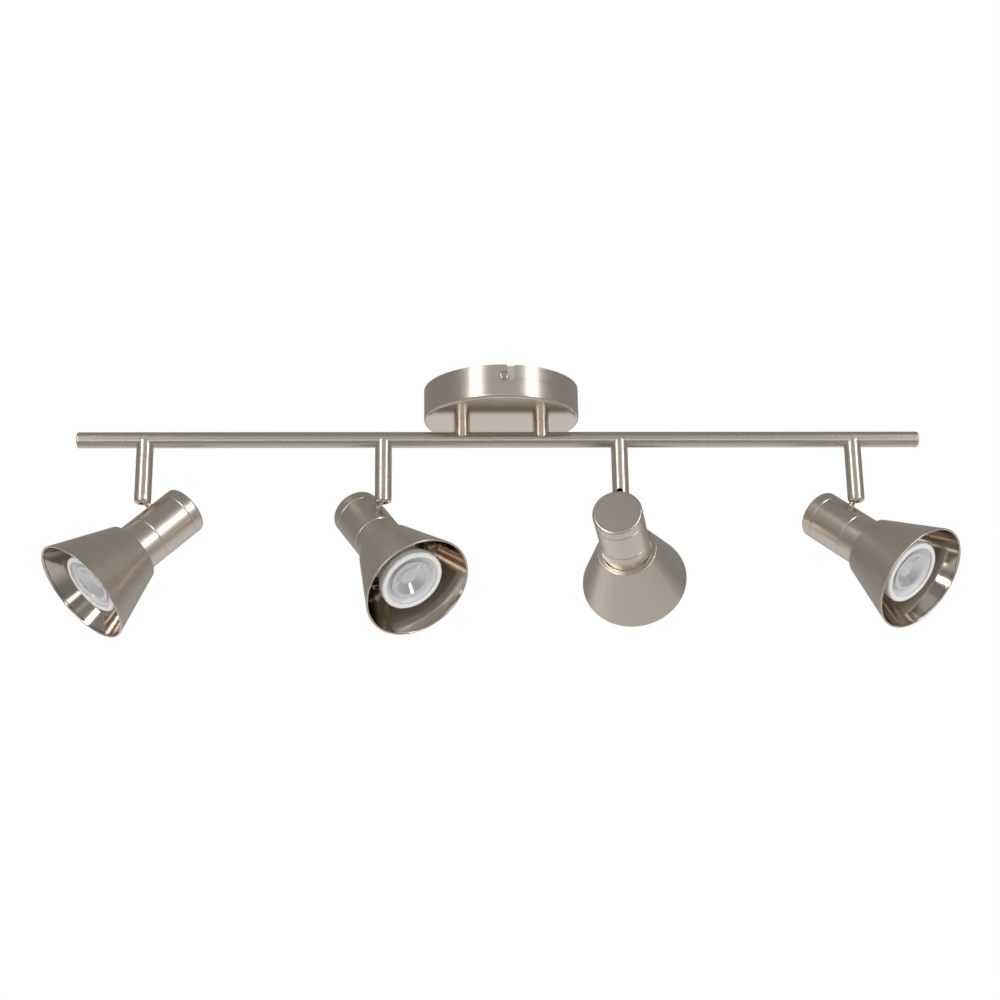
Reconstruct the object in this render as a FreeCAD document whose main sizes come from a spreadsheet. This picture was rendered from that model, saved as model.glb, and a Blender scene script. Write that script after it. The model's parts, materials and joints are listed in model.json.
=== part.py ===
import FreeCAD, Part
import os
import re
import Sketcher
from FreeCAD import Placement, Rotation, Vector

# Ceiling fixture: four spotlights that pan and tilt on a straight bar under a round canopy.
# Millimetres, +Z up, +X along the bar. The origin is the middle of the canopy's rim, on the ceiling.
# Each light's head is drawn level, facing +X, with its cup's axis through the origin, then placed.

doc = FreeCAD.newDocument("spotlightBar")
sheet = doc.addObject("Spreadsheet::Sheet", "Dims")

dims = {
    # fits
    "seatGap": 0.03,            # between fixed pieces that sit in or on each other
    "runGap": 0.05,             # radial clearance of a running fit
    "faceGap": 0.1,             # between faces that turn on each other
    "past": 1,                  # how far a cutting tool runs past the face it cuts
    # bar
    "barLength": 660,           # over both end caps
    "barDia": 12.5,
    "barWall": 1.0,
    "barDrop": 40.2,            # ceiling to the bar's axis
    "endHead": 2.7,             # visible thickness of an end cap
    "endPlug": 6,
    "endRound": 1.5,
    # canopy and its two posts
    "canopyDia": 121.5,
    "canopyDepth": 25.75,
    "canopyWall": 1.2,
    "canopyRound": 2.4,
    "postSpacing": 62,
    "postDia": 13,
    "postBore": 9,
    "nippleDia": 8,
    "nippleBore": 5,
    "nippleRise": 7,            # above the canopy's floor
    "nippleFoot": 1,            # below the bar's wall
    "saddleStart": 1,           # bar's axis to where a sleeve on the bar begins
    "nutFlats": 12,
    "nutHeight": 3.5,
    # mounting strap, with the side screws that carry the canopy
    "strapWidth": 22,
    "strapThick": 1.6,
    "strapGap": 1.5,            # ear to canopy wall
    "strapRound": 1.3,          # outside of the bend
    "earDrop": 15,
    "boxSpacing": 88.9,
    "boxSlotLength": 14,
    "boxSlotWidth": 4.8,
    "wireHoleDia": 10.2,
    "groundPlace": 22,
    "sideScrewDrop": 9.2,
    "sideScrewDia": 3.8,
    "sideHeadDia": 7.4,
    "sideHeadDepth": 2.2,
    "sideHeadRound": 1.6,
    "sideScrewSpare": 3,        # shank past the strap's ear
    "hookWidth": 5.8,           # of the L-shaped slot in the canopy's side
    "hookEntry": 5.2,           # its entry, off the screw's place
    # collar, swivel and stem of each light
    "lightSpacing": 185,
    "stemDia": 13,
    "stemWall": 1.25,
    "collarEnd": 12.9,          # bar's axis to the seam that turns
    "stemTop": 2.5,
    "stemRound": 3.0,
    "stemTip": 0.6,             # left below the bore
    "drillInset": 0.6,          # the bore's bottom is smaller than the ball all round
    "drillRise": 3.4,           # height of its tapered bottom
    "swivelDia": 6,
    "swivelBore": 3.6,
    "flangeDia": 7.6,
    "flangeThick": 1.2,
    "clipRoom": 0.55,           # clip to the stem's bore
    "clipThick": 1.2,
    "clipTail": 1.5,            # swivel below its clip
    # knuckle
    "pivotDrop": 47,            # bar's axis to the tilt axis
    "ballDia": 7.2,
    "ballRoom": 0.3,            # under the ball
    "neckDia": 4.6,
    "neckBore": 2.6,
    "neckShow": 7.95,           # tilt axis to the cup's side
    "neckSpare": 1.7,           # neck past its nut
    "neckSlack": 0.35,          # each side of the neck in the stem's slot
    "slotRise": 5.5,            # tilt axis to the slot's top
    "trunnionDia": 2.4,
    "trunnionDepth": 2.0,
    "trunnionInset": 0.2,       # pin end below the stem's surface
    "neckNutFlats": 8,
    "neckNutHeight": 2.7,
    # lamp holder cup, measured along its axis from the neck
    "cupDia": 38.5,
    "cupWall": 1.2,
    "cupBack": 22.8,
    "cupFront": 40,
    "cupRound": 1.8,
    "rearGroove": 9.5,          # from the cup's back
    "frontGroove": 40,
    "grooveWidth": 1.1,
    "grooveDepth": 0.5,
    # shade and the bracket that carries it
    "shadeStart": 34.4,
    "shadeEnd": 86.3,
    "shadeGap": 0.9,            # cup to the hole in the shade's back
    "shoulder": 3.55,           # width of the shade's turned-in back
    "shadeRound": 0.7,
    "shadeMouthDia": 85.4,
    "shadeSheet": 0.8,
    "lipWidth": 1.6,
    "plateThick": 1.2,
    "plateHole": 17,
    "armThick": 1.0,
    "armWidth": 9,
    "armReach": 8.5,            # small end of the shade to the arms' feet
    # socket and lamp
    "socketDia": 26,
    "socketLength": 19,
    "lampBackGap": 0.3,         # lamp to the bracket's plate
    "lampPinSpacing": 10,
    "lampPinDia": 3,
    "lampPinHead": 5,
    "lampPinLength": 7,
    "lampPinTip": 2.5,          # length of the pin's head
    "lampPinRoom": 0.6,         # on the diameter of the socket's bores
    "lampDia": 50,
    "lampFace": 77.4,
    "lampLength": 50,
    "lampBaseDia": 24,
    "lampBaseLength": 13,
    "lampRimDepth": 5.5,
    "lampRing": 3.9,
    "lensThick": 1.2,
    "lensInset": 0.8,
    "opticDepth": 9,
    "opticWall": 3,
    "opticBowl": 4,             # depth of the bowl in its front
    "cavityRoom": 2,            # round the optic's small end
    "cavityBack": 1,            # behind the optic
    "opticSmallDia": 12,
    "opticWideDia": 32,
    # where each head points: degrees about the vertical from straight out of the front, then below level
    "aimFarLeft": -61.5,
    "aimLeft": 39.3,
    "aimRight": 166.7,
    "aimFarRight": 44.1,
    "dipFarLeft": 43.4,
    "dipLeft": 44.0,
    "dipRight": 15.6,
    "dipFarRight": 38.5,
}

# sizes that follow from the others
dims |= {
    "stemBore": "=stemDia - 2 * stemWall",
    "stemEnd": "=pivotDrop + ballDia / 2 + ballRoom + stemTip",     # bar's axis to the stem's rounded end
    "clipDia": "=stemBore - 2 * clipRoom",
    "neckReach": "=cupDia / 2 + neckShow",                          # tilt axis to the cup's axis
    "shadeHoleDia": "=cupDia + 2 * shadeGap",
    "shadeSmallDia": "=shadeHoleDia + 2 * shoulder",
    "lensSeat": "=lampFace - lensInset - lensThick",
    "cavityEnd": "=lensSeat - opticDepth - cavityBack",
    "lampBack": "=lampFace - lampLength",
    "plateBack": "=lampBack - lampBackGap - seatGap - plateThick",
}

for row, (alias, size) in enumerate(dims.items(), start=1):
    sheet.set(f"A{row}", alias)
    sheet.set(f"B{row}", str(size))
    sheet.setAlias(f"B{row}", alias)
doc.recompute()

lights = ("FarLeft", "Left", "Right", "FarRight")
nodes = []


def value(text):
    """The number that an expression on the sheet's aliases gives."""
    return float(sheet.evalExpression(text))


def bound(text):
    """The same expression as another object of the document reads it."""
    def prefixed(word):
        return f"Dims.{word.group()}" if word.group() in dims else word.group()
    return re.sub(r"[A-Za-z]\w*", prefixed, text)


def bind(feature, **sizes):
    for name, text in sizes.items():
        feature.setExpression(name, bound(text))


def keep(thing, label, place=None):
    """Marks a sub-part that is written as a node of its own."""
    thing.Label = label
    if place is not None:
        thing.Placement = place
    nodes.append(thing)
    return thing


# sketches and features

def newBody(name):
    return doc.addObject("PartDesign::Body", name)


def newSketch(body, role):
    sketch = body.newObject("Sketcher::SketchObject", f"{body.Name}Sketch")
    plane = [feature for feature in body.Origin.OriginFeatures if feature.Role == role][0]
    sketch.AttachmentSupport = [(plane, "")]
    sketch.MapMode = "FlatFace"
    return sketch


def tie(sketch, geometry, point, across, along):
    """Holds a point at its distances from the sketch's origin."""
    for kind, text in (("DistanceX", across), ("DistanceY", along)):
        index = sketch.addConstraint(Sketcher.Constraint(kind, -1, 1, geometry, point, value(text)))
        sketch.setExpression(f"Constraints[{index}]", bound(text))


def addPolygon(sketch, points):
    spots = [Vector(value(across), value(along), 0) for across, along in points]
    first = sketch.GeometryCount
    for start, end in zip(spots, spots[1:] + spots[:1]):
        sketch.addGeometry(Part.LineSegment(start, end))
    for index in range(len(points)):
        following = (index + 1) % len(points)
        sketch.addConstraint(Sketcher.Constraint("Coincident", first + index, 2, first + following, 1))
        tie(sketch, first + index, 1, *points[index])


def addCircle(sketch, across, along, diameter):
    centre = Vector(value(across), value(along), 0)
    index = sketch.addGeometry(Part.Circle(centre, Vector(0, 0, 1), value(diameter) / 2))
    tie(sketch, index, 3, across, along)
    size = sketch.addConstraint(Sketcher.Constraint("Diameter", index, value(diameter)))
    sketch.setExpression(f"Constraints[{size}]", bound(diameter))


def turn(body, sketch, axis):
    feature = body.newObject("PartDesign::Revolution", f"{body.Name}Turn")
    feature.Profile = (sketch, [""])
    feature.ReferenceAxis = (sketch, [axis])
    feature.Angle = 360
    return feature


def turnedBody(name, points, axis):
    """A body turned from a closed outline. V_Axis: (radius, height). H_Axis: (along, radius)."""
    body = newBody(name)
    sketch = newSketch(body, "XZ_Plane")
    addPolygon(sketch, points)
    turn(body, sketch, axis)
    return body


def pad(body, sketch, length):
    feature = body.newObject("PartDesign::Pad", f"{body.Name}Pad")
    feature.Profile = (sketch, [""])
    feature.Midplane = True
    bind(feature, Length=length)
    return feature


def pocket(body, sketch, length, reversed=False, midplane=False):
    doc.recompute()
    before = body.Shape.Volume
    feature = body.newObject("PartDesign::Pocket", f"{body.Name}Pocket")
    feature.Profile = (sketch, [""])
    feature.Midplane = midplane
    feature.Reversed = reversed
    bind(feature, Length=length)
    doc.recompute()
    if not feature.Shape.Volume < before - 0.01:
        raise RuntimeError(f"{body.Name}: a pocket cuts nothing")
    return feature


def roundEdges(body, radius, chosen):
    """Fillets the edges of the body's last feature that the test picks."""
    doc.recompute()
    tip = body.Tip
    names = [f"Edge{index}" for index, edge in enumerate(tip.Shape.Edges, start=1) if chosen(edge)]
    if not names:
        raise RuntimeError(f"{body.Name}: no edge to round")
    feature = body.newObject("PartDesign::Fillet", f"{body.Name}Round")
    feature.Base = (tip, names)
    bind(feature, Radius=radius)
    return feature


def ringAt(axis, radius, place):
    """Test for a full circle of this radius at this place along an axis (0 = X, 2 = Z)."""
    def chosen(edge):
        curve = edge.Curve
        if not isinstance(curve, Part.Circle) or not edge.Closed:
            return False
        return abs(curve.Radius - value(radius)) < 0.01 and abs(curve.Center[axis] - value(place)) < 0.01
    return chosen


def cylinder(name, diameter, length, at, direction=Vector(0, 0, 1)):
    thing = doc.addObject("Part::Cylinder", name)
    bind(thing, Radius=f"({diameter}) / 2", Height=length)
    thing.Placement = Placement(at, Rotation(Vector(0, 0, 1), direction))
    return thing


def cut(name, base, *tools):
    for number, tool in enumerate(tools, start=1):
        thing = doc.addObject("Part::Cut", f"{name}Cut{number}")
        thing.Base = base
        thing.Tool = tool
        base = thing
    return base


def fuse(name, *parts):
    thing = doc.addObject("Part::MultiFuse", f"{name}Fuse")
    thing.Shapes = list(parts)
    return thing


def group(label, members):
    """Identical fasteners in one node, each a solid of its own."""
    thing = doc.addObject("Part::Compound", f"{label}Group")
    thing.Links = members
    return keep(thing, label)


def hexNut(name, flats, height, bore, at):
    prism = doc.addObject("Part::Prism", f"{name}Hex")
    prism.Polygon = 6
    bind(prism, Circumradius=f"({flats}) / sqrt(3)", Height=height)
    prism.Placement = Placement(at, Rotation())
    hole = cylinder(f"{name}Hole", bore, f"({height}) + 2 * past", at - Vector(0, 0, value("past")))
    return cut(name, prism, hole)


def lightPlace(index):
    """Where a stem's axis crosses the bar's axis."""
    return Vector((index - 1.5) * value("lightSpacing"), 0, -value("barDrop"))


def stemPlace(index, light):
    """Turned about the vertical, so that +X is the way the light points."""
    aim = value(f"aim{light}") - 90
    return Placement(lightPlace(index), Rotation(Vector(0, 0, 1), aim))


def pivotPlace(index, light):
    """At the knuckle, turned and dipped with the head."""
    pivot = Placement(Vector(0, 0, -value("pivotDrop")), Rotation(Vector(0, 1, 0), value(f"dip{light}")))
    return stemPlace(index, light).multiply(pivot)


def headPlace(index, light):
    """On the cup's axis, straight across from the knuckle."""
    return pivotPlace(index, light).multiply(Placement(Vector(0, 0, -value("neckReach")), Rotation()))


# canopy, strap and what hangs the bar from them

def makeCanopy():
    outer, inner = "canopyDia / 2", "canopyDia / 2 - canopyWall"
    floor = "canopyWall - canopyDepth"
    outline = [(outer, "0"), (outer, "-canopyDepth"), ("0", "-canopyDepth"), ("0", floor), (inner, floor),
               (inner, "0")]
    body = turnedBody("Canopy", outline, "V_Axis")
    roundEdges(body, "canopyRound", ringAt(2, outer, "-canopyDepth"))
    roundEdges(body, "canopyRound - canopyWall", ringAt(2, inner, "canopyWall - canopyDepth"))
    holes = newSketch(body, "XY_Plane")
    for side in ("-", ""):
        addCircle(holes, f"{side}postSpacing / 2", "0", "nippleDia + 2 * seatGap")
    pocket(body, holes, "canopyDepth + past")
    # the slot comes down from the rim and turns sideways, over the side screw
    hook = newSketch(body, "XZ_Plane")
    edge, side = "hookEntry + hookWidth / 2", "hookEntry - hookWidth / 2"
    low, high = "-sideScrewDrop - hookWidth / 2", "-sideScrewDrop + hookWidth / 2"
    addPolygon(hook, [(edge, "past"), (edge, low), ("-hookWidth / 2", low), ("-hookWidth / 2", high),
                      (side, high), (side, "past")])
    slot = pocket(body, hook, "canopyDia", reversed=True)
    pattern = body.newObject("PartDesign::PolarPattern", "CanopyHooks")
    pattern.Originals = [slot]
    pattern.Axis = (hook, ["V_Axis"])
    pattern.Angle = 360
    pattern.Occurrences = 2
    body.Tip = pattern
    keep(body, "canopy")


def makeStrap():
    reach, drop = "canopyDia / 2 - canopyWall - strapGap", "-earDrop"
    within = f"{reach} - strapThick"
    body = newBody("Strap")
    profile = newSketch(body, "YZ_Plane")
    addPolygon(profile, [(f"-({reach})", "0"), (reach, "0"), (reach, drop), (within, drop),
                         (within, "-strapThick"), (f"-({within})", "-strapThick"),
                         (f"-({within})", drop), (f"-({reach})", drop)])
    pad(body, profile, "strapWidth")

    def bend(edge):
        middle = edge.CenterOfMass
        return abs(middle.z) < 0.01 and abs(abs(middle.y) - value(reach)) < 0.01 and abs(middle.x) < 0.01

    roundEdges(body, "strapRound", bend)
    slots = newSketch(body, "XY_Plane")
    half, run = "boxSlotWidth / 2", "(boxSlotLength - boxSlotWidth) / 2"
    for side in ("-", ""):
        near, far = f"{side}(boxSpacing / 2 - {run})", f"{side}(boxSpacing / 2 + {run})"
        addPolygon(slots, [(half, near), (half, far), (f"-{half}", far), (f"-{half}", near)])
    pocket(body, slots, "strapThick + past")
    holes = newSketch(body, "XY_Plane")
    addCircle(holes, "0", "0", "wireHoleDia")
    addCircle(holes, "0", "groundPlace", "sideScrewDia + 2 * seatGap")
    for side in ("-", ""):
        for end in ("-", "+"):
            addCircle(holes, "0", f"{side}(boxSpacing / 2 {end} {run})", "boxSlotWidth")
    pocket(body, holes, "strapThick + past")
    threads = newSketch(body, "XZ_Plane")
    addCircle(threads, "0", "-sideScrewDrop", "sideScrewDia + 2 * seatGap")
    pocket(body, threads, "canopyDia", midplane=True)
    keep(body, "mounting_strap")


def domedScrew(name, length, place):
    """Shank along -Z from the head's seat at the origin, domed head above it."""
    tip, shank, head = f"-({length})", "sideScrewDia / 2", "sideHeadDia / 2"
    outline = [("0", tip), (shank, tip), (shank, "0"), (head, "0"), (head, "sideHeadDepth"),
               ("0", "sideHeadDepth")]
    body = turnedBody(name, outline, "V_Axis")
    roundEdges(body, "sideHeadRound", ringAt(2, head, "sideHeadDepth"))
    body.Placement = place
    return body


def makeScrews():
    seat = value("canopyDia / 2 + seatGap")
    reach = "canopyWall + strapGap + strapThick + seatGap + sideScrewSpare"
    height = -value("sideScrewDrop")
    front = Placement(Vector(0, -seat, height), Rotation(Vector(1, 0, 0), 90))
    back = Placement(Vector(0, seat, height), Rotation(Vector(1, 0, 0), -90))
    group("canopy_screws", [domedScrew("FrontScrew", reach, front), domedScrew("BackScrew", reach, back)])
    ground = Vector(0, value("groundPlace"), -value("strapThick + seatGap"))
    under = Placement(ground, Rotation(Vector(1, 0, 0), 180))
    keep(domedScrew("GroundScrew", "strapThick", under), "ground_screw")


def saddled(name, diameter, bore, low, high, at):
    """A sleeve between two heights over the bar's axis, cut to sit on the bar."""
    length, foot = f"({high}) - ({low})", at + Vector(0, 0, value(low))
    sleeve = cylinder(f"{name}Sleeve", diameter, length, foot)
    hole = cylinder(f"{name}Bore", bore, f"{length} + 2 * past", foot - Vector(0, 0, value("past")))
    reach = Vector(-value(diameter), 0, 0)
    bar = cylinder(f"{name}Bar", "barDia + 2 * seatGap", f"2 * ({diameter})", at + reach, Vector(1, 0, 0))
    return cut(name, sleeve, hole, bar)


def makePosts():
    posts, nipples, nuts = [], [], []
    floor = "barDrop - canopyDepth + canopyWall"
    top = "barDrop - canopyDepth - seatGap"
    foot, rise = "barDia / 2 - barWall - nippleFoot", f"{floor} + nippleRise"
    length = f"{rise} - ({foot})"
    for side in (-1, 1):
        name = "LeftPost" if side < 0 else "RightPost"
        at = Vector(side * value("postSpacing") / 2, 0, -value("barDrop"))
        posts.append(saddled(name, "postDia", "postBore", "saddleStart", top, at))
        low = at + Vector(0, 0, value(foot))
        tube = cylinder(f"{name}Tube", "nippleDia", length, low)
        under = low - Vector(0, 0, value("past"))
        inside = cylinder(f"{name}Wires", "nippleBore", f"{length} + 2 * past", under)
        nipples.append(cut(f"{name}Nipple", tube, inside))
        seat = at + Vector(0, 0, value(f"{floor} + seatGap"))
        nuts.append(hexNut(f"{name}Nut", "nutFlats", "nutHeight", "nippleDia + 2 * seatGap", seat))
    group("bar_posts", posts)
    group("post_nipples", nipples)
    group("post_nuts", nuts)


# bar

def makeBar():
    body = newBody("Bar")
    rings = newSketch(body, "YZ_Plane")
    addCircle(rings, "0", "0", "barDia")
    addCircle(rings, "0", "0", "barDia - 2 * barWall")
    pad(body, rings, "barLength - 2 * endHead")
    top = newSketch(body, "XY_Plane")
    for side in ("-", ""):
        addCircle(top, f"{side}postSpacing / 2", "0", "nippleDia + 2 * seatGap")
    pocket(body, top, "barDia", reversed=True)
    under = newSketch(body, "XY_Plane")
    for step in ("-1.5", "-0.5", "0.5", "1.5"):
        addCircle(under, f"{step} * lightSpacing", "0", "swivelDia + 2 * seatGap")
    pocket(body, under, "barDia")
    keep(body, "bar_tube", Placement(Vector(0, 0, -value("barDrop")), Rotation()))


def makeEndCaps():
    caps = []
    plug = "barDia / 2 - barWall - seatGap"
    outline = [("-endPlug", "0"), ("-endPlug", plug), ("seatGap", plug), ("seatGap", "barDia / 2"),
               ("endHead", "barDia / 2"), ("endHead", "0")]
    for side in (-1, 1):
        body = turnedBody("LeftEnd" if side < 0 else "RightEnd", outline, "H_Axis")
        roundEdges(body, "endRound", ringAt(0, "barDia / 2", "endHead"))
        end = Vector(side * value("barLength / 2 - endHead"), 0, -value("barDrop"))
        body.Placement = Placement(end, Rotation(Vector(0, 0, 1), 180 if side < 0 else 0))
        caps.append(body)
    group("bar_end_caps", caps)


# swivel of each light, fixed to the bar

def makeSwivels():
    collars, nipples, clips = [], [], []
    flange = "-sqrt(pow(barDia / 2 - barWall; 2) - pow(flangeDia / 2; 2)) + seatGap"
    clipTop = "-(collarEnd + 2 * faceGap + stemTop)"
    tail = f"{clipTop} - clipThick - clipTail"
    for index, light in enumerate(lights):
        at = lightPlace(index)
        bore = "swivelDia + 2 * seatGap"
        collars.append(saddled(f"Collar{light}", "stemDia", bore, "-collarEnd", "-saddleStart", at))
        outline = [("swivelBore / 2", tail), ("swivelDia / 2", tail), ("swivelDia / 2", flange),
                   ("flangeDia / 2", flange), ("flangeDia / 2", f"{flange} + flangeThick"),
                   ("swivelBore / 2", f"{flange} + flangeThick")]
        nipple = turnedBody(f"Swivel{light}", outline, "V_Axis")
        nipple.Placement = Placement(at, Rotation())
        nipples.append(nipple)
        low = at + Vector(0, 0, value(f"{clipTop} - clipThick"))
        disc = cylinder(f"Clip{light}Disc", "clipDia", "clipThick", low)
        hole = cylinder(f"Clip{light}Hole", bore, "clipThick + 2 * past", low - Vector(0, 0, value("past")))
        clips.append(cut(f"Clip{light}", disc, hole))
    group("stem_collars", collars)
    group("swivel_nipples", nipples)
    group("swivel_clips", clips)


# stem of each light: pans

def makeStem(number, index, light):
    outer, inner = "stemDia / 2", "stemBore / 2"
    top, roof = "-(collarEnd + faceGap)", "-(collarEnd + faceGap + stemTop)"
    floor = "-(pivotDrop + ballDia / 2 + ballRoom)"
    hole = "swivelDia / 2 + runGap"
    outline = [(hole, top), (outer, top), (outer, "-stemEnd"), ("0", "-stemEnd"), ("0", floor),
               ("ballDia / 2 - drillInset", floor), (inner, f"{floor} + drillRise"), (inner, roof),
               (hole, roof)]
    body = turnedBody(f"Stem{light}", outline, "V_Axis")
    roundEdges(body, "stemRound", ringAt(2, outer, "-stemEnd"))
    # the neck's slot runs from straight down to straight back
    width = "neckDia + 2 * neckSlack"
    slot = newSketch(body, "XZ_Plane")
    crown = f"-pivotDrop + slotRise - ({width}) / 2"
    beyond, front = "-stemDia", "neckDia / 2 + neckSlack"
    under, equator = "-stemEnd - past", "-pivotDrop - ballDia / 2"
    addPolygon(slot, [(front, under), (front, equator), ("0", equator), ("0", crown),
                      (beyond, crown), (beyond, under)])
    pocket(body, slot, width, midplane=True)
    arch = newSketch(body, "YZ_Plane")
    addCircle(arch, "0", crown, width)
    pocket(body, arch, "stemDia")
    pins = newSketch(body, "XZ_Plane")
    addCircle(pins, "0", "-pivotDrop", "trunnionDia + 2 * seatGap")
    pocket(body, pins, "2 * stemDia", midplane=True)
    keep(body, f"stem_{number}", stemPlace(index, light))


def makePins(number, index, light):
    """Two short pins from the stem's wall into the ball, so that the wires pass between them."""
    pivot = pivotPlace(index, light)
    pins = []
    inner, outer = "ballDia / 2 - trunnionDepth", "stemDia / 2 - trunnionInset"
    for side in (-1, 1):
        start = pivot.multVec(Vector(0, side * value(inner), 0))
        away = pivot.Rotation.multVec(Vector(0, side, 0))
        name = f"Pin{light}{'A' if side < 0 else 'B'}"
        pins.append(cylinder(name, "trunnionDia", f"{outer} - ({inner})", start, away))
    group(f"pivot_pins_{number}", pins)


# head of each light: tilts

def makeKnuckle(number, index, light):
    wall = "neckReach - cupDia / 2 + cupWall"
    length = f"{wall} + neckNutHeight + neckSpare"
    down = Vector(0, 0, -1)
    ball = doc.addObject("Part::Sphere", f"Ball{light}")
    bind(ball, Radius="ballDia / 2")
    neck = cylinder(f"Neck{light}", "neckDia", length, Vector(), down)
    whole = fuse(f"Knuckle{light}", ball, neck)
    above = Vector(0, 0, value("ballDia"))
    wires = cylinder(f"NeckWires{light}", "neckBore", f"{length} + ballDia", above, down)
    sockets = []
    for side in (-1, 1):
        start = Vector(0, side * value("ballDia / 2 - trunnionDepth - faceGap"), 0)
        name = f"PinSocket{light}{'A' if side < 0 else 'B'}"
        sockets.append(cylinder(name, "trunnionDia + 2 * runGap", "ballDia", start, Vector(0, side, 0)))
    keep(cut(f"Knuckle{light}", whole, wires, *sockets), f"knuckle_{number}", pivotPlace(index, light))
    # the nut bears on the cup's round inside by two edges, so it lies a little lower than the wall
    inside = "cupDia / 2 - cupWall"
    sag = f"({inside}) - sqrt(pow({inside}; 2) - pow(neckNutFlats / sqrt(3); 2))"
    low = Vector(0, 0, -value(f"{wall} + {sag} + seatGap + neckNutHeight"))
    nut = hexNut(f"NeckNut{light}", "neckNutFlats", "neckNutHeight", "neckDia + 2 * seatGap", low)
    keep(nut, f"neck_nut_{number}", pivotPlace(index, light))


def makeCup(number, index, light):
    outer, inner = "cupDia / 2", "cupDia / 2 - cupWall"
    outline = [("-cupBack", "0"), ("-cupBack", outer), ("cupFront", outer), ("cupFront", inner),
               ("-cupBack + cupWall", inner), ("-cupBack + cupWall", "0")]
    body = turnedBody(f"Cup{light}", outline, "H_Axis")
    roundEdges(body, "cupRound", ringAt(0, outer, "-cupBack"))
    grooves = newSketch(body, "XZ_Plane")
    for place in ("rearGroove", "frontGroove"):
        base = f"-cupBack + {place}"
        low, high = f"{base} - grooveWidth / 2", f"{base} + grooveWidth / 2"
        addPolygon(grooves, [(low, f"{outer} + past"), (low, outer), (base, f"{outer} - grooveDepth"),
                             (high, outer), (high, f"{outer} + past")])
    doc.recompute()
    before = body.Shape.Volume
    feature = body.newObject("PartDesign::Groove", f"{body.Name}Grooves")
    feature.Profile = (grooves, [""])
    feature.ReferenceAxis = (grooves, ["H_Axis"])
    feature.Angle = 360
    doc.recompute()
    if feature.Shape.Volume >= before:
        raise RuntimeError("the cup's grooves cut nothing")
    hole = newSketch(body, "XY_Plane")
    addCircle(hole, "0", "0", "neckDia + 2 * seatGap")
    pocket(body, hole, "cupDia", reversed=True)
    keep(body, f"holder_cup_{number}", headPlace(index, light))


def makeSocket(number, index, light):
    back, front = "plateBack - seatGap - socketLength", "plateBack - seatGap"
    outline = [(back, "0"), (back, "socketDia / 2"), (front, "socketDia / 2"), (front, "0")]
    body = turnedBody(f"Socket{light}", outline, "H_Axis")
    bores = newSketch(body, "YZ_Plane")
    for side in ("-", ""):
        addCircle(bores, "0", f"{side}lampPinSpacing / 2", "lampPinHead + lampPinRoom")
    pocket(body, bores, front, reversed=True)
    keep(body, f"socket_{number}", headPlace(index, light))


coneSlope = "(shadeMouthDia - shadeSmallDia) / 2 / (shadeEnd - shadeStart)"


def shadeRadius(along):
    """Outside of the cone at a place along the axis."""
    return f"(shadeSmallDia / 2 + (({along}) - shadeStart) * {coneSlope})"


def makeBracket(number, index, light):
    """A plate across the cup that holds the socket, with three arms that carry the shade."""
    back, face = "plateBack", "plateBack + plateThick"
    rim = "cupDia / 2 - cupWall - seatGap"
    foot = "shadeStart + armReach"
    toe = f"{shadeRadius(foot)} - shadeSheet - seatGap"
    body = turnedBody(f"Bracket{light}", [
        (back, "plateHole / 2"), (back, rim), (foot, rim), (foot, toe), (f"{foot} + armThick", toe),
        (f"{foot} + armThick", f"{rim} - armThick"), (face, f"{rim} - armThick"),
        (face, "plateHole / 2")], "H_Axis")
    # a window ahead of the plate, repeated, leaves three arms
    window = newSketch(body, "YZ_Plane")
    window.setExpression(".AttachmentOffset.Base.z", bound(face))
    half, span = "armWidth / 2", "shadeMouthDia / 2"
    addPolygon(window, [(half, f"{half} / sqrt(3)"), (half, span), (span, span),
                        (span, f"(2 * ({half}) - {span}) / sqrt(3)")])
    opening = pocket(body, window, "shadeEnd", reversed=True)
    pattern = body.newObject("PartDesign::PolarPattern", f"Bracket{light}Arms")
    pattern.Originals = [opening]
    pattern.Axis = (window, ["N_Axis"])
    pattern.Angle = 360
    pattern.Occurrences = 3
    body.Tip = pattern
    keep(body, f"shade_bracket_{number}", headPlace(index, light))


def makeShade(number, index, light):
    """Thin sheet: a turned-in back with a hole round the cup, a cone, and a lip."""
    outer, mouth, hole = "shadeSmallDia / 2", "shadeMouthDia / 2", "shadeHoleDia / 2"
    inset, floor = f"lipWidth * {coneSlope}", "shadeStart + shadeSheet"
    outline = [("shadeStart", hole), ("shadeStart", outer), ("shadeEnd", mouth),
               ("shadeEnd", f"{mouth} - lipWidth"), ("shadeEnd - shadeSheet", f"{mouth} - lipWidth"),
               ("shadeEnd - lipWidth", f"{mouth} - {inset} - shadeSheet"),
               (floor, f"{shadeRadius(floor)} - shadeSheet"), (floor, hole)]
    body = turnedBody(f"Shade{light}", outline, "H_Axis")
    roundEdges(body, "shadeRound", ringAt(0, outer, "shadeStart"))
    keep(body, f"shade_{number}", headPlace(index, light))


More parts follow.
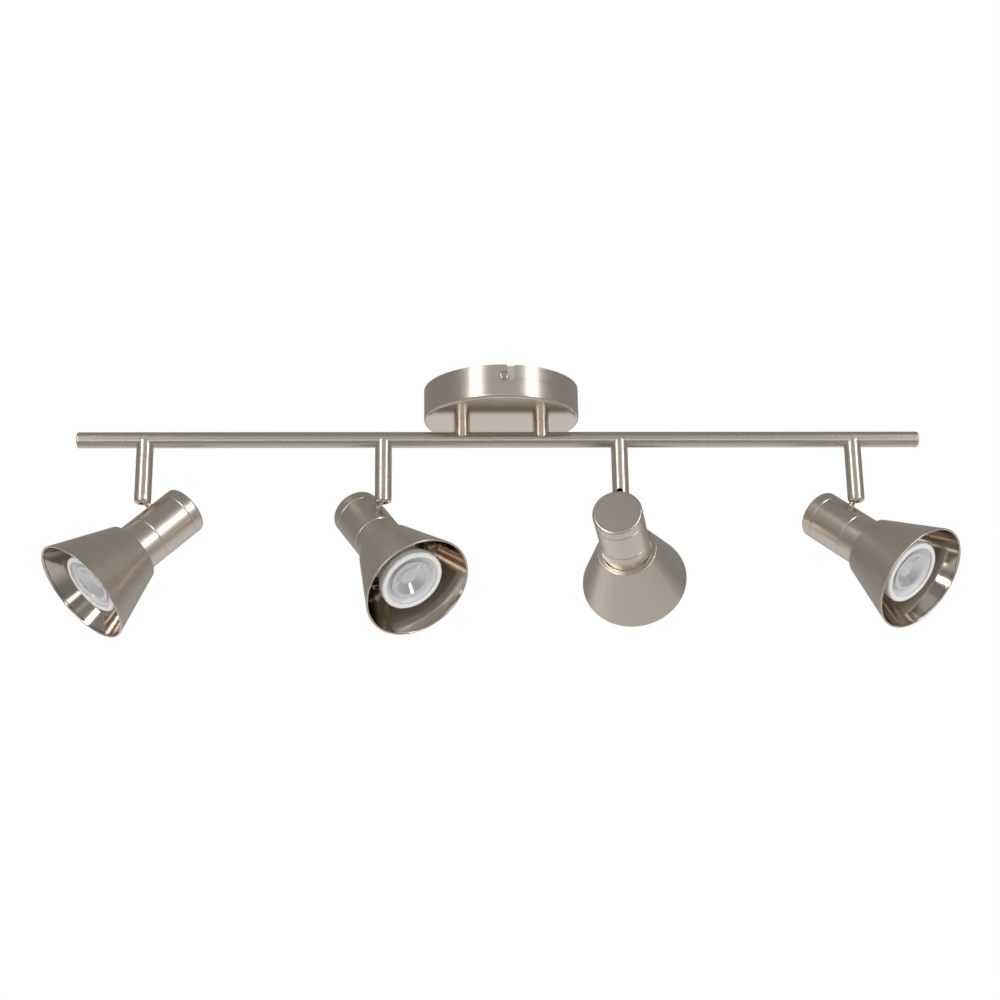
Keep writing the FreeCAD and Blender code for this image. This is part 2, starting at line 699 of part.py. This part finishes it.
def makeLamp(number, index, light):
    place = headPlace(index, light)
    base, rim, window = "lampBaseDia / 2", "lampDia / 2", "lampDia / 2 - lampRing"
    outline = [("lampBack", "0"), ("lampBack", base), ("lampBack + lampBaseLength", base),
               ("lampFace - lampRimDepth", rim), ("lampFace", rim), ("lampFace", window),
               ("lensSeat", window), ("cavityEnd", "opticSmallDia / 2 + cavityRoom"), ("cavityEnd", "0")]
    body = turnedBody(f"Lamp{light}", outline, "H_Axis")
    roundEdges(body, "lensInset", ringAt(0, rim, "lampFace"))
    keep(body, f"lamp_body_{number}", place)
    seat, edge, front = "lensSeat + seatGap", f"{window} - seatGap", "lampFace - lensInset"
    lens = [(seat, "0"), (seat, edge), (front, edge), (front, "0")]
    keep(turnedBody(f"Lens{light}", lens, "H_Axis"), f"lamp_lens_{number}", place)
    foot, lip, bowl = "cavityEnd + seatGap", "lensSeat - seatGap", "lensSeat - opticBowl"
    optic = [(foot, "0"), (foot, "opticSmallDia / 2"), (lip, "opticWideDia / 2"),
             (lip, "opticWideDia / 2 - opticWall"), (bowl, "opticSmallDia / 2"), (bowl, "0")]
    keep(turnedBody(f"Optic{light}", optic, "H_Axis"), f"lamp_optic_{number}", place)
    root = "lampBack - seatGap"
    tip, shoulder = f"{root} - lampPinLength", f"{root} - lampPinLength + lampPinTip"
    outline = [(tip, "0"), (tip, "lampPinHead / 2"), (shoulder, "lampPinHead / 2"),
               (shoulder, "lampPinDia / 2"), (root, "lampPinDia / 2"), (root, "0")]
    pins = []
    for side in (-1, 1):
        pin = turnedBody(f"LampPin{light}{'A' if side < 0 else 'B'}", outline, "H_Axis")
        aside = Placement(Vector(0, 0, side * value("lampPinSpacing / 2")), Rotation())
        pin.Placement = place.multiply(aside)
        pins.append(pin)
    group(f"lamp_pins_{number}", pins)


makeCanopy()
makeStrap()
makeScrews()
makePosts()
makeBar()
makeEndCaps()
makeSwivels()
for index, light in enumerate(lights):
    number = index + 1
    for make in (makeStem, makePins, makeKnuckle, makeCup, makeSocket, makeBracket, makeShade, makeLamp):
        make(number, index, light)
doc.recompute()

for thing in doc.Objects:
    if "Invalid" in thing.State or "Error" in thing.State:
        raise RuntimeError(f"{thing.Name} ({thing.Label}) didn't build: {thing.State}")

os.makedirs("parts", exist_ok=True)
for thing in nodes:
    shape = thing.Shape
    if shape.isNull() or not shape.isValid() or not shape.Solids:
        raise RuntimeError(f"{thing.Label}: no valid solid")
    shape.exportStep(f"parts/{thing.Label}.step")
    print(f"{thing.Label}: {len(shape.Solids)} solid(s), {shape.Volume:.1f} mm3")
print(f"{len(nodes)} nodes")
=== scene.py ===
import json
import math

import bmesh
import bpy
import numpy as np
from mathutils import Matrix, Vector


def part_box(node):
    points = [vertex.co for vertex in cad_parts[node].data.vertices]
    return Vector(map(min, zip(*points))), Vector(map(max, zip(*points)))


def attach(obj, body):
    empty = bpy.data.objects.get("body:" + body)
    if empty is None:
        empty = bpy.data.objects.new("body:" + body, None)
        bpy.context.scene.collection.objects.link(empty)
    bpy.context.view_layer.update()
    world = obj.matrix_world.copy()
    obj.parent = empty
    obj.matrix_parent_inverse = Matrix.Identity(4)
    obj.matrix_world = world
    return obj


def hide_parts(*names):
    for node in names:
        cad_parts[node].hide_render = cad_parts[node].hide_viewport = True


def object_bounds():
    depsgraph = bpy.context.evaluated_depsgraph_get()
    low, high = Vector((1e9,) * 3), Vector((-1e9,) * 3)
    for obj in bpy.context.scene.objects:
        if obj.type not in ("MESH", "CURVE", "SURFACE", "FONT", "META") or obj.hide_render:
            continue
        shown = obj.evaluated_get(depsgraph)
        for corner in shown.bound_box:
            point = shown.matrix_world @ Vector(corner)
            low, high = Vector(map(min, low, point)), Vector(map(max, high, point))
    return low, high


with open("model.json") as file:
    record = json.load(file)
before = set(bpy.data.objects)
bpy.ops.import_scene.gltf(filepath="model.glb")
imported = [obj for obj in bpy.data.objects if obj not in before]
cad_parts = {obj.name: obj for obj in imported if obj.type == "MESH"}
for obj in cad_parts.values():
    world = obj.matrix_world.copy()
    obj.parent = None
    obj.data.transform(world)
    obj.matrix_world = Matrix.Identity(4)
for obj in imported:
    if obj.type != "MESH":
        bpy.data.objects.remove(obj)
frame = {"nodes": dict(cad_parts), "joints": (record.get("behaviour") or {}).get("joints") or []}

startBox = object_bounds()
joints = {joint["name"]: joint for joint in frame["joints"]}


# shader maths as plain Python

class Signal:
    # one output of a node; arithmetic on it adds Math nodes
    def __init__(self, recipe, socket):
        self.recipe = recipe
        self.socket = socket

    def maths(self, operation, first, second):
        return self.recipe.add("Math", {"operation": operation}, [first, second])

    def output(self, name):
        return Signal(self.recipe, self.socket.node.outputs[name])

    def __add__(self, other):
        return self.maths("ADD", self, other)

    def __radd__(self, other):
        return self.maths("ADD", other, self)

    def __sub__(self, other):
        return self.maths("SUBTRACT", self, other)

    def __rsub__(self, other):
        return self.maths("SUBTRACT", other, self)

    def __mul__(self, other):
        return self.maths("MULTIPLY", self, other)

    def __rmul__(self, other):
        return self.maths("MULTIPLY", other, self)

    def __pow__(self, other):
        return self.maths("POWER", self, other)


class Recipe:
    # a node tree under construction
    def __init__(self, tree):
        self.tree = tree
        tree.nodes.clear()

    def add(self, kind, settings=None, sockets=()):
        node = self.tree.nodes.new("ShaderNode" + kind)
        for name, setting in (settings or {}).items():
            setattr(node, name, setting)
        for key, given in sockets.items() if isinstance(sockets, dict) else enumerate(sockets):
            if isinstance(given, Signal):
                self.tree.links.new(given.socket, node.inputs[key])
            else:
                node.inputs[key].default_value = given
        return Signal(self, node.outputs[0]) if node.outputs else node

    def noise(self, vector, detail=2.0):
        # smooth noise about 0.5, one cell for each unit of the vector
        sockets = {"Vector": vector, "Scale": 1.0, "Detail": detail}
        return self.add("TexNoise", {"noise_dimensions": "3D"}, sockets)

    def stretch(self, vector, scales):
        return self.add("VectorMath", {"operation": "MULTIPLY"}, [vector, scales])

    def blend(self, factor, first, second):
        # between two colours
        mixed = self.add("Mix", {"data_type": "RGBA"}, {0: factor, 6: first, 7: second})
        return Signal(self, mixed.socket.node.outputs[2])

    def bump(self, height, depth, strength=1.0):
        return self.add("Bump", None, {"Height": height, "Distance": depth, "Strength": strength})

    def surface(self, sockets):
        return self.add("BsdfPrincipled", None, sockets)

    def finish(self, shader):
        self.add("OutputMaterial", None, {"Surface": shader})


def newMaterial(name):
    material = bpy.data.materials.new(name)
    material.use_nodes = True
    return material, Recipe(material.node_tree)


# finishes

nickelLooks = {
    "colour": (0.68, 0.60, 0.525, 1),
    "worn": (0.62, 0.545, 0.475, 1),
    "roughness": 0.29,
    "lineWidth": 0.00035,
    "lineLength": 0.30,
    "lineDepth": 0.000007,
}


def linePlace(recipe, way):
    # the vector that brush lines are read from: its Z runs across the lines, X and Y along them
    if way == "turned":
        return recipe.add("Attribute", {"attribute_name": "turned"}).output("Vector")
    place = recipe.add("TexCoord").output("Object")
    parts = recipe.add("SeparateXYZ", None, [place])
    x, y, z = parts, parts.output("Y"), parts.output("Z")
    if way == "bar":
        return recipe.add("CombineXYZ", None, [y, z, x])
    if way == "canopy":
        radius = (x * x + y * y) ** 0.5
        return recipe.add("CombineXYZ", None, [x, y, z - radius])
    return place


def brushedMetal(name, way, looks):
    # lines = noise squeezed across the brushing and drawn out along it; they set a fine relief,
    # and a coarser band of the same noise varies the tone and the gloss
    material, recipe = newMaterial(name)
    place = linePlace(recipe, way)
    across, along = 1 / looks["lineWidth"], 1 / looks["lineLength"]
    lines = recipe.noise(recipe.stretch(place, (along, along, across)), 0.0)
    bands = recipe.noise(recipe.stretch(place, (along, along, across / 9)), 2.0)
    roughness = looks["roughness"] - 0.05 + 0.1 * bands
    if way == "canopy":
        # the flat underside is polished, so its lines are faint there
        height = recipe.add("SeparateXYZ", None, [recipe.add("TexCoord").output("Object")]).output("Z")
        under = height.maths("LESS_THAN", height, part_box("canopy")[0].z + 0.0004)
        lines, roughness = lines * (1 - 0.97 * under), roughness - 0.12 * under
    recipe.finish(recipe.surface({
        "Base Color": recipe.blend(bands, looks["worn"], looks["colour"]),
        "Metallic": 1.0,
        "Roughness": roughness,
        "Normal": recipe.bump(lines, looks["lineDepth"]),
    }))
    return material


mirrorLooks = {
    "polishedNickel": {"colour": (0.60, 0.52, 0.44, 1), "roughness": 0.14, "ripple": 0.00002},
    "polishedInside": {"colour": (0.60, 0.53, 0.46, 1), "roughness": 0.11, "ripple": 0.00003},
    "zincSteel": {"colour": (0.80, 0.80, 0.78, 1), "roughness": 0.42, "ripple": 0.00006},
    "brightBrass": {"colour": (0.78, 0.56, 0.28, 1), "roughness": 0.25, "ripple": 0.00002},
    "lampOptic": {"colour": (0.86, 0.86, 0.88, 1), "roughness": 0.12, "ripple": 0.00004},
}


def polishedMetal(name):
    # mirror metal with a faint slow ripple and a little haze
    looks = mirrorLooks[name]
    material, recipe = newMaterial(name)
    place = recipe.add("TexCoord").output("Object")
    slow = recipe.noise(recipe.stretch(place, (160, 160, 160)))
    haze = recipe.noise(recipe.stretch(place, (900, 900, 900)))
    recipe.finish(recipe.surface({
        "Base Color": looks["colour"],
        "Metallic": 1.0,
        "Roughness": looks["roughness"] * (0.8 + 0.4 * haze),
        "Normal": recipe.bump(slow, looks["ripple"]),
    }))
    return material


enamelLooks = {
    "greenSteel": {"colour": (0.06, 0.28, 0.12, 1), "shade": (0.04, 0.22, 0.09, 1),
                   "roughness": 0.35, "grain": 900, "depth": 0.00002},
    "ceramic": {"colour": (0.84, 0.82, 0.76, 1), "shade": (0.78, 0.75, 0.69, 1),
                "roughness": 0.45, "grain": 1500, "depth": 0.00003},
    "lampWhite": {"colour": (0.93, 0.93, 0.92, 1), "shade": (0.90, 0.90, 0.89, 1),
                  "roughness": 0.30, "grain": 1200, "depth": 0.00001},
}


def enamel(name):
    # paint or ceramic: a fine orange-peel relief and a slight change of tone
    looks = enamelLooks[name]
    material, recipe = newMaterial(name)
    place = recipe.add("TexCoord").output("Object")
    peel = recipe.noise(recipe.stretch(place, (looks["grain"],) * 3), 3.0)
    tone = recipe.noise(recipe.stretch(place, (60, 60, 60)))
    recipe.finish(recipe.surface({
        "Base Color": recipe.blend(tone, looks["shade"], looks["colour"]),
        "Roughness": looks["roughness"] + 0.1 * peel,
        "Normal": recipe.bump(peel, looks["depth"]),
        "Coat Weight": 0.2,
    }))
    return material


lensLooks = {
    "body": (0.92, 0.92, 0.93, 1), "clear": (0.97, 0.97, 0.975, 1), "roughness": 0.10,
    "pebbles": 1400.0, "relief": 0.00012, "milk": 0.08,
}


def lensGlass(name, looks):
    # clear plastic that is a little milky, with pebbles moulded into it
    material, recipe = newMaterial(name)
    place = recipe.add("TexCoord").output("Object")
    pebbles = recipe.add("TexVoronoi", {"feature": "SMOOTH_F1"}, {"Vector": place, "Scale": looks["pebbles"]})
    body = recipe.surface({
        "Base Color": looks["body"],
        "Roughness": looks["roughness"],
        "Normal": recipe.bump(pebbles.output("Distance"), looks["relief"], 0.5),
    })
    clear = recipe.add("BsdfTransparent", None, {"Color": looks["clear"]})
    milk = recipe.noise(recipe.stretch(place, (120, 120, 120)))
    recipe.finish(recipe.add("MixShader", None, [looks["milk"] * (1 + milk), clear, body]))
    return material


satinBar = brushedMetal("satinBar", "bar", nickelLooks)
satinCanopy = brushedMetal("satinCanopy", "canopy", nickelLooks)
satinUpright = brushedMetal("satinUpright", "upright", nickelLooks)
satinTurned = brushedMetal("satinTurned", "turned", nickelLooks)
polishedNickel = polishedMetal("polishedNickel")
polishedInside = polishedMetal("polishedInside")
zincSteel = polishedMetal("zincSteel")
brightBrass = polishedMetal("brightBrass")
lampOptic = polishedMetal("lampOptic")
greenSteel = enamel("greenSteel")
ceramic = enamel("ceramic")
lampWhite = enamel("lampWhite")
lampLens = lensGlass("lampLens", lensLooks)

finishes = {
    "bar_tube": satinBar, "bar_end_caps": satinBar, "canopy": satinCanopy,
    "bar_posts": satinUpright, "stem_collars": satinUpright, "stem": satinUpright,
    "canopy_screws": polishedNickel, "knuckle": polishedNickel, "pivot_pins": polishedNickel,
    "mounting_strap": zincSteel, "post_nipples": zincSteel, "post_nuts": zincSteel,
    "swivel_nipples": zincSteel, "swivel_clips": zincSteel, "neck_nut": zincSteel,
    "shade_bracket": zincSteel, "ground_screw": greenSteel, "socket": ceramic, "lamp_pins": brightBrass,
    "lamp_optic": lampOptic,
}
for name, node in frame["nodes"].items():
    kind = name.rstrip("_1234")
    if kind in finishes:
        node.data.materials.clear()
        node.data.materials.append(finishes[kind])
print("finishes:", len(bpy.data.materials), "materials")


# turned shapes

def rounded(corners, bends=6, guard=0.00025):
    # corners are (along, radius, rounding); each rounding becomes an arc between the two straight
    # runs, centre = corner + bisector * rounding / sin(half angle), with a guard point before and
    # after it that keeps the flats flat
    line = []
    for index, (along, radius, rounding) in enumerate(corners):
        corner = np.array([along, radius])
        if not rounding:
            line.append(corner)
            continue
        before = np.array(corners[index - 1][:2]) - corner
        after = np.array(corners[(index + 1) % len(corners)][:2]) - corner
        before, after = before / np.linalg.norm(before), after / np.linalg.norm(after)
        half = math.acos(np.clip(before @ after, -1, 1)) / 2
        reach = rounding / math.tan(half)
        bisector = (before + after) / np.linalg.norm(before + after)
        centre = corner + bisector * rounding / math.sin(half)
        start, end = corner + before * reach - centre, corner + after * reach - centre
        turn = math.pi - 2 * half
        share = np.linspace(0, 1, bends)[:, None]
        arc = (np.sin((1 - share) * turn) * start + np.sin(share * turn) * end) / math.sin(turn)
        line += [corner + before * (reach + guard), *(centre + arc), corner + after * (reach + guard)]
    return np.array(line)


def turnedGrid(profile, seat, steps):
    # point = seat + along * axis + radius * (cos(angle) * side + sin(angle) * up)
    angle = np.linspace(0, 2 * np.pi, steps, endpoint=False)
    ring = np.cos(angle)[:, None] * seat["side"] + np.sin(angle)[:, None] * seat["up"]
    along = profile[:, 0][:, None, None] * seat["axis"]
    grid = seat["origin"] + along + profile[:, 1][:, None, None] * ring
    lengths = np.concatenate([[0], np.cumsum(np.linalg.norm(np.diff(profile, axis=0), axis=1))])
    flat = profile[:, 1][:, None] * np.stack([np.cos(angle), np.sin(angle)])[:, None, :].reshape(2, 1, -1)
    lines = np.stack([flat[0], flat[1], np.broadcast_to(lengths[:, None], flat[0].shape)], axis=-1)
    return grid, lines


def turnedPiece(name, profile, seat, steps, materials, inside=None, closed=False):
    # quads between neighbouring rings; rings on the axis are welded to one point.
    # inside is the first row that takes the second material
    grid, lines = turnedGrid(profile, seat, steps)
    rows = len(profile)
    row, step = np.meshgrid(np.arange(rows if closed else rows - 1), np.arange(steps), indexing="ij")
    nextRow, nextStep = (row + 1) % rows, (step + 1) % steps
    faces = np.stack([row * steps + step, nextRow * steps + step,
                      nextRow * steps + nextStep, row * steps + nextStep], axis=-1).reshape(-1, 4)
    mesh = bpy.data.meshes.new(name)
    mesh.from_pydata(grid.reshape(-1, 3).tolist(), [], faces.tolist())
    mesh.attributes.new("turned", "FLOAT_VECTOR", "POINT").data.foreach_set("vector", lines.ravel())
    for material in materials:
        mesh.materials.append(material)
    if inside is not None:
        mesh.polygons.foreach_set("material_index", (row.ravel() >= inside).astype(np.int32))
    mesh.polygons.foreach_set("use_smooth", np.ones(len(faces), bool))
    weld = bmesh.new()
    weld.from_mesh(mesh)
    bmesh.ops.remove_doubles(weld, verts=weld.verts, dist=1e-7)
    bmesh.ops.recalc_face_normals(weld, faces=weld.faces)
    weld.to_mesh(mesh)
    weld.free()
    piece = bpy.data.objects.new(name, mesh)
    bpy.context.scene.collection.objects.link(piece)
    return piece


# the four heads

cupSizes = {"back": -0.0228, "front": 0.0400, "radius": 0.01925, "wall": 0.0012, "rounding": 0.0018,
            "grooves": (-0.0133, 0.0172), "grooveWidth": 0.0011, "grooveDepth": 0.0005}
shadeSizes = {"back": 0.0344, "mouth": 0.0863, "backRadius": 0.0237, "mouthRadius": 0.0427,
              "holeRadius": 0.0196, "shoulder": 0.0010, "sheet": 0.0008, "lip": 0.0016}
lampSizes = {"back": 0.0274, "face": 0.0774, "baseRadius": 0.0120, "baseEnd": 0.0404, "rimStart": 0.0719,
             "radius": 0.0250, "window": 0.0211, "lensSeat": 0.0754, "cavity": 0.0654, "cavityRadius": 0.008}
neckReach = 0.0272


def headSeat(number):
    # the mouth's direction lies at right angles to the tilt axis, dipped by the joint's lower limit
    tilt = joints[f"tilt_{number}"]
    hinge = np.array(tilt["axis"], float)
    dip = math.radians(-tilt["range_deg"][0])
    level = np.array([hinge[1], -hinge[0], 0.0])
    down = np.array([0.0, 0.0, -1.0])
    axis = level * math.cos(dip) + down * math.sin(dip)
    neck = down * math.cos(dip) - level * math.sin(dip)
    origin = np.array(tilt["pos_m"], float) + neck * neckReach
    return {"origin": origin, "axis": axis, "side": hinge, "up": -neck}


def cupProfile(sizes):
    radius, inner = sizes["radius"], sizes["radius"] - sizes["wall"]
    corners = [(sizes["back"], 0, 0), (sizes["back"], radius, sizes["rounding"])]
    for place in sizes["grooves"]:
        half = sizes["grooveWidth"] / 2
        corners += [(place - half, radius, 0.00012), (place, radius - sizes["grooveDepth"], 0.0001),
                    (place + half, radius, 0.00012)]
    corners += [(sizes["front"], radius, 0.0003), (sizes["front"], inner, 0.0003),
                (sizes["back"] + sizes["wall"], inner, 0.0005), (sizes["back"] + sizes["wall"], 0, 0)]
    return rounded(corners, 5, 0.00006)


def shadeProfile(sizes):
    # a cone of thin sheet, its back turned in round the cup and its mouth hemmed inwards
    mouth, lip, sheet = sizes["mouthRadius"], sizes["lip"], sizes["sheet"]
    slope = (mouth - sizes["backRadius"]) / (sizes["mouth"] - sizes["back"])
    hem = sizes["mouth"] - lip
    floor = sizes["back"] + sheet
    hole, shoulder = sizes["holeRadius"], sizes["backRadius"]
    return rounded([
        (sizes["back"], hole, 0.0002), (sizes["back"], shoulder, sizes["shoulder"]),
        (sizes["mouth"], mouth, 0.0006), (sizes["mouth"], mouth - lip, 0.0006),
        (hem, mouth - lip * (1 + slope), 0.0003),
        (hem - 0.0006, mouth - (lip + 0.0006) * slope - sheet, 0.0003),
        (floor, shoulder - sheet * (1 - slope), 0.0004), (floor, hole, 0.0002)], 7, 0.0001)


def lampProfile(sizes):
    return rounded([
        (sizes["back"], 0, 0), (sizes["back"], sizes["baseRadius"], 0.0008),
        (sizes["baseEnd"], sizes["baseRadius"], 0.0015), (sizes["rimStart"], sizes["radius"], 0.003),
        (sizes["face"], sizes["radius"], 0.0016), (sizes["face"], sizes["window"], 0.0006),
        (sizes["lensSeat"], sizes["window"], 0.0003), (sizes["cavity"], sizes["cavityRadius"], 0.002),
        (sizes["cavity"], 0, 0)], 8, 0.0001)


def lensProfile(sizes):
    # flat at the back; the front is a shallow dome, height = rise * (1 - (radius / window)^2)
    edge, seat = sizes["window"] - 0.0001, sizes["lensSeat"] + 0.00005
    share = np.linspace(1, 0, 14)
    dome = np.stack([sizes["face"] - 0.0009 + 0.0008 * (1 - share ** 2), share * edge], axis=1)
    return np.concatenate([[(seat, 0), (seat, edge - 0.0003), (seat, edge)], dome])


for number in (1, 2, 3, 4):
    seat, body = headSeat(number), f"head_{number}"
    profile = cupProfile(cupSizes)
    cup = turnedPiece(f"cup_{number}", profile, seat, 128, [satinTurned])
    profile = shadeProfile(shadeSizes)
    hemStart = int(np.argmax(profile[:, 0])) - 1
    shade = turnedPiece(f"cone_{number}", profile, seat, 192, [satinTurned, polishedInside], hemStart, True)
    lamp = turnedPiece(f"lamp_{number}", lampProfile(lampSizes), seat, 128, [lampWhite])
    lens = turnedPiece(f"lens_{number}", lensProfile(lampSizes), seat, 96, [lampLens])
    for piece, node, slotName in (
        (cup, "holder_cup", "shade_nickel"), (shade, "shade", "shade_nickel"),
        (lamp, "lamp_body", "lamp_white"), (lens, "lamp_lens", "lamp_glass"),
    ):
        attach(piece, body)
        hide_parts(f"{node}_{number}")
print("heads: 4 cups, cones, lamps and lenses")


# studio

studio = {
    "floorDrop": 0.80, "floorSize": 8.0, "floorColour": (0.82, 0.81, 0.80, 1),
    "floorShade": (0.80, 0.79, 0.78, 1),
    "floorDark": (0.16, 0.155, 0.15, 1),
    "cameraPlace": (-0.0527, -1.2326, -0.4426), "cameraTurn": -0.0412, "cameraPitch": 0.2789,
    "cameraRoll": -0.0139, "lens": 59.45,
}
boxes = {
    "leftBox": {"place": (-1.15, -1.42, 0.05), "size": (0.30, 2.6), "power": 15.0},
    "rightBox": {"place": (1.25, -1.30, 0.05), "size": (0.30, 2.6), "power": 15.0},
    "frontBox": {"place": (0.1, -2.4, 0.7), "size": (1.6, 1.6), "power": 1.5},
    "lowBox": {"place": (0.0, -2.5, -0.78), "size": (2.6, 0.30), "power": 5.0},
}


def setCamera():
    # view = pitched and turned off the +Y axis, then rolled about itself
    turn, pitch, roll = studio["cameraTurn"], studio["cameraPitch"], studio["cameraRoll"]
    look = Vector((-math.sin(turn) * math.cos(pitch), math.cos(turn) * math.cos(pitch), math.sin(pitch)))
    right = Vector((math.cos(turn), math.sin(turn), 0))
    up = right.cross(look)
    rolledRight = right * math.cos(roll) + up * math.sin(roll)
    rolledUp = up * math.cos(roll) - right * math.sin(roll)
    camera = bpy.data.objects.new("camera", bpy.data.cameras.new("camera"))
    axes = Matrix((rolledRight, rolledUp, -look)).transposed().to_4x4()
    camera.matrix_world = Matrix.Translation(studio["cameraPlace"]) @ axes
    camera.data.lens = studio["lens"]
    camera.data.sensor_width = 36.0
    bpy.context.scene.collection.objects.link(camera)
    bpy.context.scene.camera = camera


def setFloor():
    # pale to the eye and white far behind; metal sees its near part dark
    half = studio["floorSize"] / 2
    level = startBox[0][2] - studio["floorDrop"]
    mesh = bpy.data.meshes.new("floor")
    corners = [(-half, -half, level), (half, -half, level), (half, half, level), (-half, half, level)]
    mesh.from_pydata(corners, [], [(0, 1, 2, 3)])
    material, recipe = newMaterial("paleFloor")
    place = recipe.add("TexCoord").output("Object")
    tone = recipe.noise(recipe.stretch(place, (3, 3, 3)))
    path = recipe.add("LightPath")
    depth = recipe.add("SeparateXYZ", None, [place]).output("Y")
    front = recipe.add("MapRange", {"interpolation_type": "SMOOTHSTEP"}, {
        "Value": depth, "From Min": -0.9, "From Max": 0.1, "To Min": 1.0, "To Max": 0.0})
    pale = recipe.blend(tone, studio["floorShade"], studio["floorColour"])
    cloth = recipe.surface({
        "Base Color": recipe.blend(front * path.output("Is Glossy Ray"), pale, studio["floorDark"]),
        "Roughness": 0.8,
    })
    seen = path.output("Is Camera Ray") + path.output("Is Glossy Ray") + path.output("Is Transmission Ray")
    white = recipe.add("Emission", None, {"Color": (1, 1, 1, 1), "Strength": 1.0})
    back = recipe.add("MapRange", {"interpolation_type": "SMOOTHSTEP"}, {
        "Value": depth, "From Min": 0.0, "From Max": 1.2, "To Min": 0.1, "To Max": 0.6})
    recipe.finish(recipe.add("MixShader", None, [back * seen, cloth, white]))
    mesh.materials.append(material)
    floor = bpy.data.objects.new("floor", mesh)
    bpy.context.scene.collection.objects.link(floor)


def addBox(name, place, size, power):
    light = bpy.data.lights.new(name, "AREA")
    light.shape = "RECTANGLE"
    light.size, light.size_y = size
    light.energy = power
    box = bpy.data.objects.new(name, light)
    away = Vector(place) - Vector((0, 0, -0.1))
    box.matrix_world = Matrix.Translation(place) @ away.to_track_quat("Z", "Y").to_matrix().to_4x4()
    bpy.context.scene.collection.objects.link(box)


roomLooks = {
    "fill": (0.50, 0.50, 0.50, 1), "walls": (0.30, 0.296, 0.288, 1), "corner": (0.07, 0.068, 0.065, 1),
    "behind": 0.9,
}


def setWorld(looks):
    # white to the eye; metal and glass see it low behind the object, grey walls above and at the
    # sides, and a dark corner low in front
    world = bpy.data.worlds.new("studio")
    world.use_nodes = True
    bpy.context.scene.world = world
    recipe = Recipe(world.node_tree)
    way = recipe.add("SeparateXYZ", None, [recipe.add("TexCoord").output("Generated")])
    back = recipe.add("MapRange", {"interpolation_type": "SMOOTHSTEP"}, {
        "Value": way.output("Y"), "From Min": -0.1, "From Max": 0.7, "To Min": 0.0, "To Max": 1.0})
    low = recipe.add("MapRange", {"interpolation_type": "SMOOTHSTEP"}, {
        "Value": way.output("Z"), "From Min": -0.5, "From Max": 0.2, "To Min": 1.0, "To Max": 0.0})
    behind = back * low * looks["behind"]
    path = recipe.add("LightPath")
    seen = path.output("Is Camera Ray") + path.output("Is Transmission Ray")
    seen = seen + path.output("Is Glossy Ray") * behind
    front = recipe.add("MapRange", {"interpolation_type": "SMOOTHSTEP"}, {
        "Value": way.output("Y"), "From Min": -0.8, "From Max": -0.2, "To Min": 1.0, "To Max": 0.0})
    walls = recipe.blend(front * low, looks["walls"], looks["corner"])
    room = recipe.blend(path.output("Is Glossy Ray"), looks["fill"], walls)
    tone = recipe.blend(seen, room, (1, 1, 1, 1))
    light = recipe.add("Background", None, {"Color": tone, "Strength": 1.0})
    recipe.add("OutputWorld", None, {"Surface": light})


setCamera()
setFloor()
for name, box in boxes.items():
    addBox(name, box["place"], box["size"], box["power"])
setWorld(roomLooks)
bpy.context.scene.view_settings.view_transform = "Standard"
print("studio: camera, floor and", len(boxes), "lights")
